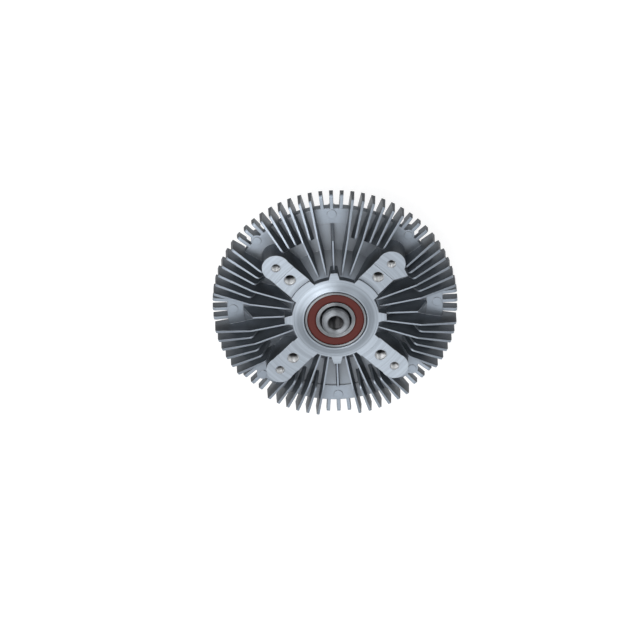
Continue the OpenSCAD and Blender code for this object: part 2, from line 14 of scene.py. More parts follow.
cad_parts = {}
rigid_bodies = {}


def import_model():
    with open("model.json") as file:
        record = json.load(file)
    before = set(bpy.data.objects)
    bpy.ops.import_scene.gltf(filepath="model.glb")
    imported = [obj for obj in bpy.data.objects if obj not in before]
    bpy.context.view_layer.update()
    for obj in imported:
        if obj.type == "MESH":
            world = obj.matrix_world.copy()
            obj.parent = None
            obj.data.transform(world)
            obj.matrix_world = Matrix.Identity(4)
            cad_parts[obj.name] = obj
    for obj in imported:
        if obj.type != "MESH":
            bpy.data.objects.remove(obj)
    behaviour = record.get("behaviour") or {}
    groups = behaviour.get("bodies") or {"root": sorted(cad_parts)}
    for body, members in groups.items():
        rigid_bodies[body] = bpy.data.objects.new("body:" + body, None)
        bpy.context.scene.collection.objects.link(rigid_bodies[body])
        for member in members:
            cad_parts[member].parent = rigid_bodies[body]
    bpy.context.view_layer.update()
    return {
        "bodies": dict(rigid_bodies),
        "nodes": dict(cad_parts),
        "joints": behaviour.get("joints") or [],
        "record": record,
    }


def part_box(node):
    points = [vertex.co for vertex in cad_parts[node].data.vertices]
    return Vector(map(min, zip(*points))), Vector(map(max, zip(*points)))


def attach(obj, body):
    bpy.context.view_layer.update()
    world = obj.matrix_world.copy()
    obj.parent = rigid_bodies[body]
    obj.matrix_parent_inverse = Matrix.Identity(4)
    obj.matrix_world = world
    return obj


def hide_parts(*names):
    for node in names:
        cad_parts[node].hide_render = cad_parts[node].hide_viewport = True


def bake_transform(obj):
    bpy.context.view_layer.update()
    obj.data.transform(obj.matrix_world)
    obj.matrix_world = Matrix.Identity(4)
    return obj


LOG = logging.getLogger("fan_clutch")
DIAGONAL = math.sqrt(0.5)
SHARP_ANGLE = math.radians(35.0)

Colour = tuple[float, float, float]
Point = tuple[float, float, float]
Socket = bpy.types.NodeSocket
Number = Union[float, Socket]


class Effect(Enum):
    """The shared surface effects, by the name of their node group."""

    CAST_SKIN = "cast_skin"
    TOOL_RINGS = "tool_rings"
    EDGE_WEAR = "edge_wear"
    # occlusion mask for painted shade in hollows and gaps
    HOLLOW_SHADE = "hollow"


class Body(Enum):
    """The bodies that the new pieces move with."""

    HOUSING = "housing"
    SHAFT = "shaft"
    VALVE = "valve"


class Tree:
    """A node tree with short calls that add nodes and join their sockets."""

    def __init__(self, tree: bpy.types.NodeTree) -> None:
        """Keep the tree and clear what it starts with.

        Args:
            tree: The node tree of a material, a world or a group.
        """
        self.tree = tree
        self.tree.nodes.clear()

    def add(self, kind: str, **settings: object) -> bpy.types.Node:
        """Add one node.

        Args:
            kind: Blender's name of the node's type.
            settings: Properties of the node, by name.

        Returns:
            The new node.
        """
        node = self.tree.nodes.new(kind)
        for name, value in settings.items():
            setattr(node, name, value)
        return node

    def put(self, value: object, socket: Socket) -> None:
        """Join a socket to another one, or set its own value.

        Args:
            value: An output socket, a number or a colour.
            socket: The input that gets it.
        """
        if isinstance(value, Socket):
            self.tree.links.new(value, socket)
        else:
            socket.default_value = value

    def math(
        self, operation: str, first: Number, second: Number = 0.0, clamp: bool = False
    ) -> Socket:
        """Add a Math node.

        Args:
            operation: Blender's name of the operation.
            first: The first number or socket.
            second: The second number or socket.
            clamp: Whether the result is kept between 0 and 1.

        Returns:
            The socket with the result.
        """
        node = self.add("ShaderNodeMath", operation=operation, use_clamp=clamp)
        self.put(first, node.inputs[0])
        self.put(second, node.inputs[1])
        return node.outputs[0]

    def scale(self, value: Number, factor: Number, start: Number) -> Socket:
        """Multiply a value and add a start to it.

        Args:
            value: The number or socket that is multiplied.
            factor: What it is multiplied by.
            start: What is added.

        Returns:
            The socket with the result.
        """
        node = self.add("ShaderNodeMath", operation="MULTIPLY_ADD")
        for place, number in enumerate((value, factor, start)):
            self.put(number, node.inputs[place])
        return node.outputs[0]

    def length(self, right: Socket, ahead: Socket) -> Socket:
        """Measure how far a point in a plane is from the origin.

        Args:
            right: The point's first coordinate.
            ahead: The point's second coordinate.

        Returns:
            The socket with the distance.
        """
        squares = self.math("ADD", self.math("POWER", right, 2.0), self.math("POWER", ahead, 2.0))
        return self.math("SQRT", squares)

    def ramp(
        self, value: Number, low: float, high: float, start: float = 0.0, end: float = 1.0
    ) -> Socket:
        """Map a value smoothly from one range to another.

        Args:
            value: The socket that is mapped.
            low: The value that gives start.
            high: The value that gives end.
            start: The lowest result.
            end: The highest result.

        Returns:
            The socket with the result.
        """
        node = self.add("ShaderNodeMapRange", interpolation_type="SMOOTHSTEP")
        limits = {"Value": value, "From Min": low, "From Max": high, "To Min": start, "To Max": end}
        for name, number in limits.items():
            self.put(number, node.inputs[name])
        return node.outputs[0]

    def blend(self, share: Number, first: object, second: object) -> Socket:
        """Mix two colours.

        Args:
            share: How much of the second colour shows.
            first: A colour or a socket.
            second: A colour or a socket.

        Returns:
            The socket with the mixed colour.
        """
        node = self.add("ShaderNodeMix", data_type="RGBA")
        self.put(share, node.inputs["Factor"])
        for name, value in (("A", first), ("B", second)):
            socket = next(s for s in node.inputs if s.name == name and s.type == "RGBA")
            self.put(value if isinstance(value, Socket) else (*value, 1.0), socket)
        return next(s for s in node.outputs if s.type == "RGBA")

    def mix(self, share: Number, first: Number, second: Number) -> Socket:
        """Mix two numbers.

        Args:
            share: How much of the second number counts.
            first: A number or a socket.
            second: A number or a socket.

        Returns:
            The socket with the mixed number.
        """
        node = self.add("ShaderNodeMix", data_type="FLOAT")
        for place, value in ((0, share), (2, first), (3, second)):
            self.put(value, node.inputs[place])
        return node.outputs[0]

    def noise(
        self, vector: Socket, scale: Number, detail: float = 3.0, rough: float = 0.55
    ) -> Socket:
        """Add a noise texture.

        Args:
            vector: Where the texture is read.
            scale: How many cells there are in a metre.
            detail: How many finer layers there are.
            rough: How strong the finer layers are.

        Returns:
            The socket with the noise's value.
        """
        node = self.add("ShaderNodeTexNoise")
        self.put(vector, node.inputs["Vector"])
        self.put(scale, node.inputs["Scale"])
        node.inputs["Detail"].default_value = detail
        node.inputs["Roughness"].default_value = rough
        return node.outputs[0]

    def bands(self, reach: Socket, scale: Number, detail: float) -> Socket:
        """Add a noise texture that changes along one line only.

        Args:
            reach: How far along the line the texture is read.
            scale: How many bands there are in a metre.
            detail: How many finer layers there are.

        Returns:
            The socket with the noise's value.
        """
        node = self.add("ShaderNodeTexNoise", noise_dimensions="1D")
        self.put(self.math("MULTIPLY", reach, scale), node.inputs["W"])
        node.inputs["Scale"].default_value = 1.0
        node.inputs["Detail"].default_value = detail
        return node.outputs[0]

    def split(self, vector: Socket) -> list[Socket]:
        """Split a vector into its three parts.

        Args:
            vector: The socket with the vector.

        Returns:
            The sockets of its X, Y and Z.
        """
        node = self.add("ShaderNodeSeparateXYZ")
        self.put(vector, node.inputs[0])
        return list(node.outputs)

    def place(self) -> Socket:
        """Return the point on the piece, in metres, in the frame that the CAD uses."""
        return self.add("ShaderNodeTexCoord").outputs["Object"]

    def facing(self) -> Socket:
        """Return the way that the surface faces, in the frame that the CAD uses."""
        return self.add("ShaderNodeTexCoord").outputs["Normal"]


class EffectShelf:
    """Node groups of the effects that several materials share, each built once."""

    FLOW_SCALE: float = 320.0
    FLOW_SHARE: float = 0.45
    FINE_SHARE: float = 0.6
    WEAR_SCALE: float = 500.0
    # size of the noise that breaks up the painted shade in hollows
    SHADE_PATCH_SCALE: float = 140.0
    PROBES: int = 6

    def __init__(self) -> None:
        """Start with no group built."""
        self.groups: dict[Effect, bpy.types.ShaderNodeTree] = {}
        self.makers = {
            Effect.CAST_SKIN: self.make_cast_skin,
            Effect.TOOL_RINGS: self.make_tool_rings,
            Effect.EDGE_WEAR: self.make_edge_wear,
            Effect.HOLLOW_SHADE: self.make_hollow_shade,
        }

    def start(
        self, effect: Effect, takes: dict[str, float], gives: tuple[str, ...]
    ) -> tuple[Tree, bpy.types.Node, bpy.types.Node]:
        """Make an empty group with its sockets.

        Args:
            effect: Which effect the group is for.
            takes: Names of the number inputs, with their usual values.
            gives: Names of the outputs. One called Normal is a vector.

        Returns:
            The tree, its input node and its output node.
        """
        group = bpy.data.node_groups.new(effect.value, "ShaderNodeTree")
        for name, usual in takes.items():
            socket = group.interface.new_socket(name, in_out="INPUT", socket_type="NodeSocketFloat")
            socket.default_value = usual
        for name in gives:
            kind = "NodeSocketVector" if name == "Normal" else "NodeSocketFloat"
            group.interface.new_socket(name, in_out="OUTPUT", socket_type=kind)
        tree = Tree(group)
        self.groups[effect] = group
        return tree, tree.add("NodeGroupInput"), tree.add("NodeGroupOutput")

    def make_cast_skin(self) -> None:
        """Build the skin of a die casting: broad mottling, flow marks and a fine grain."""
        usual = {"Grain": 1400.0, "Mottle": 60.0}
        tree, takes, gives = self.start(Effect.CAST_SKIN, usual, ("Mottle", "Grain"))
        place = tree.place()
        broad = tree.noise(place, takes.outputs["Mottle"], detail=4.0)
        flow = tree.noise(place, self.FLOW_SCALE, detail=2.0)
        fine = tree.noise(place, takes.outputs["Grain"], detail=2.0, rough=0.7)
        pits = tree.add("ShaderNodeTexVoronoi", feature="SMOOTH_F1")
        tree.put(place, pits.inputs["Vector"])
        tree.put(takes.outputs["Grain"], pits.inputs["Scale"])
        still = tree.math("MULTIPLY", broad, 1.0 - self.FLOW_SHARE)
        mottle = tree.scale(flow, self.FLOW_SHARE, still)
        tree.put(tree.ramp(mottle, low=0.3, high=0.7), gives.inputs["Mottle"])
        grain = tree.math("MULTIPLY", fine, self.FINE_SHARE)
        pitted = tree.math("MULTIPLY", pits.outputs[0], 1.0 - self.FINE_SHARE)
        tree.put(tree.math("ADD", grain, pitted), gives.inputs["Grain"])

    def make_tool_rings(self) -> None:
        """Build the rings that a lathe tool leaves round the shaft's axis."""
        usual = {"Rings": 3000.0, "Chatter": 300.0}
        tree, takes, gives = self.start(Effect.TOOL_RINGS, usual, ("Height", "Tone"))
        right, ahead, up = tree.split(tree.place())
        reach = tree.math("ADD", tree.length(right, ahead), up)
        fine = tree.bands(reach, takes.outputs["Rings"], detail=2.0)
        broad = tree.bands(reach, takes.outputs["Chatter"], detail=3.0)
        tree.put(fine, gives.inputs["Height"])
        mean = tree.math("MULTIPLY", tree.math("ADD", fine, broad), 0.5)
        tree.put(tree.ramp(mean, low=0.32, high=0.68), gives.inputs["Tone"])

    def make_edge_wear(self) -> None:
        """Build a mask of rounded edges, broken up by noise, and the normal that rounds them."""
        tree, takes, gives = self.start(Effect.EDGE_WEAR, {"Radius": 0.0005}, ("Mask", "Normal"))
        round_off = tree.add("ShaderNodeBevel", samples=self.PROBES)
        tree.put(takes.outputs["Radius"], round_off.inputs["Radius"])
        flat = tree.add("ShaderNodeNewGeometry")
        dot = tree.add("ShaderNodeVectorMath", operation="DOT_PRODUCT")
        tree.put(round_off.outputs[0], dot.inputs[0])
        tree.put(flat.outputs["Normal"], dot.inputs[1])
        turned = tree.ramp(dot.outputs["Value"], low=0.995, high=0.86)
        patches = tree.noise(tree.place(), self.WEAR_SCALE)
        broken = tree.ramp(patches, low=0.25, high=0.6, start=0.55, end=1.0)
        tree.put(tree.math("MULTIPLY", turned, broken), gives.inputs["Mask"])
        tree.put(round_off.outputs[0], gives.inputs["Normal"])

    def make_hollow_shade(self) -> None:
        """Build a mask of narrow hollows from occlusion, broken up by noise, where shade is painted
        into the colour.
        """
        tree, takes, gives = self.start(Effect.HOLLOW_SHADE, {"Reach": 0.012}, ("Mask",))
        shut = tree.add("ShaderNodeAmbientOcclusion", samples=self.PROBES)
        tree.put(takes.outputs["Reach"], shut.inputs["Distance"])
        patches = tree.noise(tree.place(), self.SHADE_PATCH_SCALE)
        closed = tree.ramp(shut.outputs["AO"], low=0.85, high=0.2)
        uneven = tree.ramp(patches, low=0.3, high=0.7, start=0.8, end=1.0)
        tree.put(tree.math("MULTIPLY", closed, uneven), gives.inputs["Mask"])

    def use(self, tree: Tree, effect: Effect, **values: Number) -> bpy.types.Node:
        """Place an effect in a material.

        Args:
            tree: The material's tree.
            effect: Which effect it is.
            values: Numbers or sockets for the group's inputs, by name.

        Returns:
            The group node.
        """
        if effect not in self.groups:
            self.makers[effect]()
        node = tree.add("ShaderNodeGroup")
        node.node_tree = self.groups[effect]
        for name, value in values.items():
            tree.put(value, node.inputs[name])
        return node


@dataclass
class Surface:
    """What every finish starts from: a material, its tree, its shader and its output."""

    material: bpy.types.Material
    tree: Tree
    shader: bpy.types.Node
    out: bpy.types.Node

    @classmethod
    def start(cls, name: str, metallic: float, specular: float = 0.5) -> "Surface":
        """Make a material with one shader.

        Args:
            name: The material's name.
            metallic: 1 for bare metal, 0 for rubber and the like.
            specular: Strength of the gloss on what isn't metal.

        Returns:
            The new surface.
        """
        material = bpy.data.materials.new(name)
        material.use_nodes = True
        tree = Tree(material.node_tree)
        out = tree.add("ShaderNodeOutputMaterial")
        shader = tree.add("ShaderNodeBsdfPrincipled")
        shader.inputs["Metallic"].default_value = metallic
        shader.inputs["Specular IOR Level"].default_value = specular
        tree.put(shader.outputs[0], out.inputs["Surface"])
        return cls(material, tree, shader, out)

    def feed(self, colour: Socket, rough: Socket) -> None:
        """Give the shader its colour and roughness.

        Args:
            colour: The socket with the colour.
            rough: The socket with the roughness.
        """
        self.tree.put(colour, self.shader.inputs["Base Color"])
        self.tree.put(rough, self.shader.inputs["Roughness"])

    def emboss(self, height: Socket, depth: float, under: Socket) -> None:
        """Give the shader a bumped normal.

        Args:
            height: The socket with the height, from 0 to 1.
            depth: How high 1 is, in metres.
            under: The normal that the bump lies on.
        """
        node = self.tree.add("ShaderNodeBump")
        node.inputs["Distance"].default_value = depth
        self.tree.put(height, node.inputs["Height"])
        self.tree.put(under, node.inputs["Normal"])
        self.tree.put(node.outputs[0], self.shader.inputs["Normal"])

    def draw_out(self, share: float) -> None:
        """Draw the gloss out across the rings that a tool leaves round the shaft's axis.

        Args:
            share: How far the gloss is drawn out, from 0 to 1. At 0 nothing is added.
        """
        if share <= 0.0:
            return
        quarter_turn = 0.25
        self.shader.inputs["Anisotropic"].default_value = share
        self.shader.inputs["Anisotropic Rotation"].default_value = quarter_turn
        around = self.tree.add("ShaderNodeTangent", direction_type="RADIAL", axis="Z")
        self.tree.put(around.outputs[0], self.shader.inputs["Tangent"])


@dataclass(frozen=True)
class CastAluminium:
    """As-cast aluminium with a grey skin, bright edges, painted shade in its hollows, in its holes
    and on its steep sides, and faces turned clean.
    """

    name: str
    skin: Colour = (0.34, 0.388, 0.448)
    pale: Colour = (0.41, 0.463, 0.532)
    # painted shade: a darker colour where the casting closes into narrow hollows
    hollow: Colour = (0.27, 0.285, 0.305)
    worn: Colour = (0.60, 0.63, 0.66)
    turned: Colour = (0.465, 0.52, 0.585)
    bored: Colour = (0.90, 0.91, 0.92)
    # painted shade: near-black colours on the steep sides, standing in for the shade between the
    # fins
    steep_shade: Colour = (0.058, 0.066, 0.077)
    steep_shade_dark: Colour = (0.039, 0.045, 0.052)
    # painted light: a lighter colour where steep sides sit in narrow hollows, standing in for light
    # bounced between the fins
    steep_bounce_light: Colour = (0.17, 0.198, 0.232)
    # painted shade: a dark colour deep in the threaded holes, where less light reaches
    bore_shade: Colour = (0.07, 0.07, 0.074)
    bores: tuple[tuple[float, float], ...] = ()
    bore_edge: tuple[float, float] = (0.0003, 0.0001)
    turned_above: float = 0.0568
    turned_fade: float = 0.0002
    # depth at which the painted shade in the holes begins, and how softly it fades in
    bore_shade_below: float = 0.0485
    bore_shade_fade: float = 0.0035
    edge: float = 0.0004
    grain: float = 0.00003
    drawn: float = 0.6
    rings: float = 2600.0
    chatter: float = 420.0
    ring_share: float = 0.6
    ring_tone: float = 0.68
    ring_relief: float = 0.12
    worn_share: float = 0.6
    # how far the occlusion reaches for the painted shade in hollows
    hollow_shade_reach: float = 0.014
    cast_rough: float = 0.42
    cast_spread: float = 0.1
    turned_rough: float = 0.39
    turned_spread: float = 0.08
    bored_rough: float = 0.34
    # how metallic the steep sides with painted shade stay
    steep_metal: float = 0.35

    def build(self, shelf: EffectShelf) -> bpy.types.Material:
        """Build the material.

        Args:
            shelf: The shared effects.

        Returns:
            The new material.
        """
        surface = Surface.start(self.name, 1.0)
        tree = surface.tree
        skin = shelf.use(tree, Effect.CAST_SKIN)
        rings = shelf.use(tree, Effect.TOOL_RINGS, Rings=self.rings, Chatter=self.chatter)
        edge = shelf.use(tree, Effect.EDGE_WEAR, Radius=self.edge)
        hollow = shelf.use(tree, Effect.HOLLOW_SHADE, Reach=self.hollow_shade_reach)
        drilled = self.bore_mask(tree) if self.bores else None
        turned = self.turned_mask(tree)
        # steep sides, painted dark as shade
        steep_shade = self.steep_shade_mask(tree)
        if drilled is not None:
            steep_shade = tree.math("SUBTRACT", steep_shade, drilled, clamp=True)
        cast = tree.blend(skin.outputs["Mottle"], self.skin, self.pale)
        # painted shade: a darker colour in narrow hollows
        cast = tree.blend(hollow.outputs["Mask"], cast, self.hollow)
        # painted shade on the steep sides, lightened in hollows as painted bounce light
        dim = tree.blend(skin.outputs["Mottle"], self.steep_shade_dark, self.steep_shade)
        dim = tree.blend(hollow.outputs["Mask"], dim, self.steep_bounce_light)
        cast = tree.blend(steep_shade, cast, dim)
        toned = tuple(self.ring_tone * part for part in self.turned)
        ringed = tree.math("MULTIPLY", rings.outputs["Tone"], self.ring_share)
        colour = tree.blend(turned, cast, tree.blend(ringed, self.turned, toned))
        worn = tree.math("MULTIPLY", edge.outputs["Mask"], self.worn_share)
        colour = tree.blend(worn, colour, self.worn)
        rough = tree.scale(skin.outputs["Mottle"], self.cast_spread, self.cast_rough)
        smooth = tree.scale(rings.outputs["Tone"], self.turned_spread, self.turned_rough)
        dull = tree.mix(turned, rough, smooth)
        if drilled is not None:
            # painted shade: the holes darken with depth
            bored = tree.blend(self.bore_shade_mask(tree), self.bored, self.bore_shade)
            colour = tree.blend(drilled, colour, bored)
            dull = tree.mix(drilled, dull, self.bored_rough)
        surface.feed(colour, dull)
        # the steep sides with painted shade are less metallic, except on worn edges
        steep_unworn = tree.math("SUBTRACT", steep_shade, worn, clamp=True)
        metal = tree.ramp(steep_unworn, low=0.0, high=1.0, start=1.0, end=self.steep_metal)
        tree.put(metal, surface.shader.inputs["Metallic"])
        cut = tree.math("MULTIPLY", rings.outputs["Height"], self.ring_relief)
        height = tree.mix(turned, skin.outputs["Grain"], cut)
        surface.emboss(height, self.grain, edge.outputs["Normal"])
        surface.draw_out(self.drawn)
        return surface.material

    def steep_shade_mask(self, tree: Tree) -> Socket:
        """Mask the steep sides of the casting, which are painted dark as shade and made less
        metallic.

        Args:
            tree: The material's tree.

        Returns:
            The socket with the mask.
        """
        up = tree.split(tree.facing())[2]
        return tree.ramp(tree.math("ABSOLUTE", up), low=0.6, high=0.3)

    def bore_mask(self, tree: Tree) -> Socket:
        """Mask the walls of the threaded holes in the four arms.

        Args:
            tree: The material's tree.

        Returns:
            The socket with the mask.
        """
        place = tree.split(tree.place())[:2]
        outside, inside = self.bore_edge
        mask: Number = 0.0
        for reach, radius in self.bores:
            off = [self.from_centre(tree, value, reach) for value in place]
            hole = tree.ramp(tree.length(*off), low=radius + outside, high=radius + inside)
            mask = tree.math("MAXIMUM", mask, hole)
        return mask

    def from_centre(self, tree: Tree, value: Socket, reach: float) -> Socket:
        """Measure along one axis from the nearest hole's centre.

        Args:
            tree: The material's tree.
            value: The coordinate along the axis.
            reach: How far the holes are from the shaft's axis.

        Returns:
            The socket with the distance.
        """
        centre = tree.math("MULTIPLY", tree.math("SIGN", value), reach * DIAGONAL)
        return tree.math("SUBTRACT", value, centre)

    def bore_shade_mask(self, tree: Tree) -> Socket:
        """Mask what lies deep in the holes, which is painted dark as shade.

        Args:
            tree: The material's tree.

        Returns:
            The socket with the mask.
        """
        up = tree.split(tree.place())[2]
        return tree.ramp(up, self.bore_shade_below + self.bore_shade_fade, self.bore_shade_below - self.bore_shade_fade)

    def turned_mask(self, tree: Tree) -> Socket:
        """Mask the faces that are turned clean: those that look up, high on the casting.

        Args:
            tree: The material's tree.

        Returns:
            The socket with the mask.
        """
        looks_up = tree.ramp(tree.split(tree.facing())[2], low=0.55, high=0.75)
        up = tree.split(tree.place())[2]
        high = tree.ramp(up, self.turned_above - self.turned_fade, self.turned_above)
        return tree.math("MULTIPLY", looks_up, high)


@dataclass(frozen=True)
class BareSteel:
    """Turned, ground or stamped steel, with tool rings, a trace of oil, and painted shade in gaps
    and in the threaded bore.
    """

    name: str
    light: Colour = (0.66, 0.68, 0.70)
    dark: Colour = (0.50, 0.52, 0.54)
    smooth: float = 0.14
    spread: float = 0.12
    rings: float = 4200.0
    worn: Colour = (0.72, 0.73, 0.74)
    # oil and painted shade: a dark colour inside the threaded bore
    bore_oil_and_shade: Colour = (0.11, 0.11, 0.115)
    depth: float = 0.000003
    edge: float = 0.0003
    drawn: float = 0.0
    # painted shade: a dark colour in the narrow gaps between parts, found by occlusion
    gap_shade_reach: float = 0.0
    gap_shade: Colour = (0.014, 0.014, 0.016)
    thread_radius: float = 0.0
    thread_fade: float = 0.0001
    chatter: float = 500.0
    ring_share: float = 0.6
    oil_scale: float = 130.0
    oil_share: float = 0.3
    worn_share: float = 0.5

    def build(self, shelf: EffectShelf) -> bpy.types.Material:
        """Build the material.

        Args:
            shelf: The shared effects.

        Returns:
            The new material.
        """
        surface = Surface.start(self.name, 1.0)
        tree = surface.tree
        rings = shelf.use(tree, Effect.TOOL_RINGS, Rings=self.rings, Chatter=self.chatter)
        edge = shelf.use(tree, Effect.EDGE_WEAR, Radius=self.edge)
        oil = tree.ramp(tree.noise(tree.place(), self.oil_scale, detail=4.0), low=0.42, high=0.62)
        ringed = tree.math("MULTIPLY", rings.outputs["Tone"], self.ring_share)
        colour = tree.blend(ringed, self.light, self.dark)
        colour = tree.blend(tree.math("MULTIPLY", oil, self.oil_share), colour, self.dark)
        worn = tree.math("MULTIPLY", edge.outputs["Mask"], self.worn_share)
        colour = tree.blend(worn, colour, self.worn)
        # painted shade: darken where the surface closes into narrow gaps
        if self.gap_shade_reach > 0.0:
            hollow = shelf.use(tree, Effect.HOLLOW_SHADE, Reach=self.gap_shade_reach)
            shut = tree.ramp(hollow.outputs["Mask"], low=0.1, high=0.55)
            colour = tree.blend(shut, colour, self.gap_shade)
        # oil and painted shade: darken the inside of the threaded bore
        if self.thread_radius > 0.0:
            colour = tree.blend(self.thread_mask(tree), colour, self.bore_oil_and_shade)
        uneven = tree.math("MULTIPLY", rings.outputs["Tone"], oil)
        surface.feed(colour, tree.scale(uneven, self.spread, self.smooth))
        surface.emboss(rings.outputs["Height"], self.depth, edge.outputs["Normal"])
        surface.draw_out(self.drawn)
        return surface.material

    def thread_mask(self, tree: Tree) -> Socket:
        """Mask the inside of the threaded bore.

        Args:
            tree: The material's tree.

        Returns:
            The socket with the mask.
        """
        right, ahead, _ = tree.split(tree.place())
        reach = tree.length(right, ahead)
        return tree.ramp(reach, self.thread_radius + self.thread_fade, self.thread_radius)


@dataclass(frozen=True)
class MouldedRubber:
    """Moulded rubber with a dull bloom and a fine grain."""

    name: str
    colour: Colour = (0.100, 0.0170, 0.0132)
    bloom: Colour = (0.138, 0.0305, 0.023)
    smooth: float = 0.38
    spread: float = 0.16
    gloss: float = 0.25
    grain: float = 2600.0
    mottle: float = 110.0
    rings: float = 900.0
    chatter: float = 260.0
    edge: float = 0.0004
    depth: float = 0.000012
    bloom_share: float = 0.55
    worn_share: float = 0.4

    def build(self, shelf: EffectShelf) -> bpy.types.Material:
        """Build the material.

        Args:
            shelf: The shared effects.

        Returns:
            The new material.
        """
        surface = Surface.start(self.name, 0.0, self.gloss)
        tree = surface.tree
        skin = shelf.use(tree, Effect.CAST_SKIN, Grain=self.grain, Mottle=self.mottle)
        rings = shelf.use(tree, Effect.TOOL_RINGS, Rings=self.rings, Chatter=self.chatter)
        edge = shelf.use(tree, Effect.EDGE_WEAR, Radius=self.edge)
        patches = tree.math("MULTIPLY", skin.outputs["Mottle"], rings.outputs["Tone"])
        bloomed = tree.math("MULTIPLY", patches, self.bloom_share)
        colour = tree.blend(bloomed, self.colour, self.bloom)
        worn = tree.math("MULTIPLY", edge.outputs["Mask"], self.worn_share)
        colour = tree.blend(worn, colour, self.bloom)
        surface.feed(colour, tree.scale(skin.outputs["Mottle"], self.spread, self.smooth))
        surface.emboss(skin.outputs["Grain"], self.depth, edge.outputs["Normal"])
        return surface.material


@dataclass(frozen=True)
class RolledStrip:
    """Cold-rolled strip or sheet with faint rolling streaks and a heat tint."""

    name: str
    light: Colour = (0.58, 0.54, 0.46)
    tint: Colour = (0.42, 0.36, 0.27)
    smooth: float = 0.28
    spread: float = 0.14
    mottle: float = 90.0
    edge: float = 0.0002
    depth: float = 0.000008
    streaks: float = 220.0
    stretch: float = 14.0
    worn_tone: float = 1.3
    worn_share: float = 0.5

    def build(self, shelf: EffectShelf) -> bpy.types.Material:
        """Build the material.

        Args:
            shelf: The shared effects.

        Returns:
            The new material.
        """
        surface = Surface.start(self.name, 1.0)
        tree = surface.tree
        skin = shelf.use(tree, Effect.CAST_SKIN, Mottle=self.mottle)
        edge = shelf.use(tree, Effect.EDGE_WEAR, Radius=self.edge)
        stretch = tree.add("ShaderNodeMapping")
        stretch.inputs["Scale"].default_value = (1.0, 1.0, self.stretch)
        tree.put(tree.place(), stretch.inputs["Vector"])
        streaks = tree.add("ShaderNodeTexNoise")
        tree.put(stretch.outputs[0], streaks.inputs["Vector"])
        streaks.inputs["Scale"].default_value = self.streaks
        tinted = tree.ramp(streaks.outputs[0], low=0.35, high=0.7)
        colour = tree.blend(tinted, self.light, self.tint)
        bright = tuple(min(1.0, self.worn_tone * part) for part in self.light)
        worn = tree.math("MULTIPLY", edge.outputs["Mask"], self.worn_share)
        colour = tree.blend(worn, colour, bright)
        surface.feed(colour, tree.scale(skin.outputs["Mottle"], self.spread, self.smooth))
        surface.emboss(streaks.outputs[0], self.depth, edge.outputs["Normal"])
        return surface.material


Finish = Union[CastAluminium, BareSteel, MouldedRubber, RolledStrip]
BLACK_RUBBER = MouldedRubber("black_rubber", (0.018, 0.018, 0.019), (0.04, 0.04, 0.042))


class Wardrobe:
    """Builds each finish once and puts it on the CAD nodes and pieces."""

    def __init__(self, frame: dict, shelf: EffectShelf) -> None:
        """Keep the frame and the shared effects.

        Args:
            shelf: The shared effects.
        """
        self.frame = frame
        self.shelf = shelf
        self.made: dict[str, bpy.types.Material] = {}

    def material(self, finish: Finish) -> bpy.types.Material:
        """Return a finish's material, built on its first use.

        Args:
            finish: The finish.

        Returns:
            Its material.
        """
        if finish.name not in self.made:
            self.made[finish.name] = finish.build(self.shelf)
        return self.made[finish.name]

    def dress(self, node: str, finish: Finish) -> None:
        """Put a finish on a CAD node.

        Args:
            node: The node's name.
            finish: The finish that it gets.
        """
        piece = self.frame["nodes"][node]
        material = self.material(finish)
        for slot in piece.material_slots:
            slot.link = "OBJECT"
            slot.material = material
        LOG.info("%s: %s", node, finish.name)

    def dress_piece(self, piece: bpy.types.Object, finish: Finish, body: Body) -> None:
        """Put a finish on a new piece and let it ride on its body.

        Args:
            piece: The piece.
            finish: The finish that it gets.
            body: The body that it moves with.
        """
        piece.data.materials.append(self.material(finish))
        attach(piece, body.value)


def join_sections(mesh: bmesh.types.BMesh, rings: list[list[bmesh.types.BMVert]]) -> None:
    """Close a run of like sections into one solid.

    Args:
        mesh: The mesh that gets the faces.
        rings: The sections' points, in order along the run.
    """
    for low, high in zip(rings, rings[1:]):
        for side in range(len(low)):
            after = (side + 1) % len(low)
            mesh.faces.new((low[side], low[after], high[after], high[side]))
    mesh.faces.new(rings[0])
    mesh.faces.new(rings[-1])


def close_piece(name: str, work: bmesh.types.BMesh) -> bpy.types.Object:
    """Turn a finished mesh into a piece, smooth along its run and sharp at its edges.

    Args:
        name: The piece's name.
        work: The mesh, which is freed.

    Returns:
        The new piece.
    """
    bmesh.ops.recalc_face_normals(work, faces=work.faces)
    mesh = bpy.data.meshes.new(name)
    work.to_mesh(mesh)
    work.free()
    for face in mesh.polygons:
        face.use_smooth = True
    mesh.set_sharp_from_angle(angle=SHARP_ANGLE)
    piece = bpy.data.objects.new(name, mesh)
    bpy.context.scene.collection.objects.link(piece)
    LOG.info("%s: %d faces", name, len(mesh.polygons))
    return piece


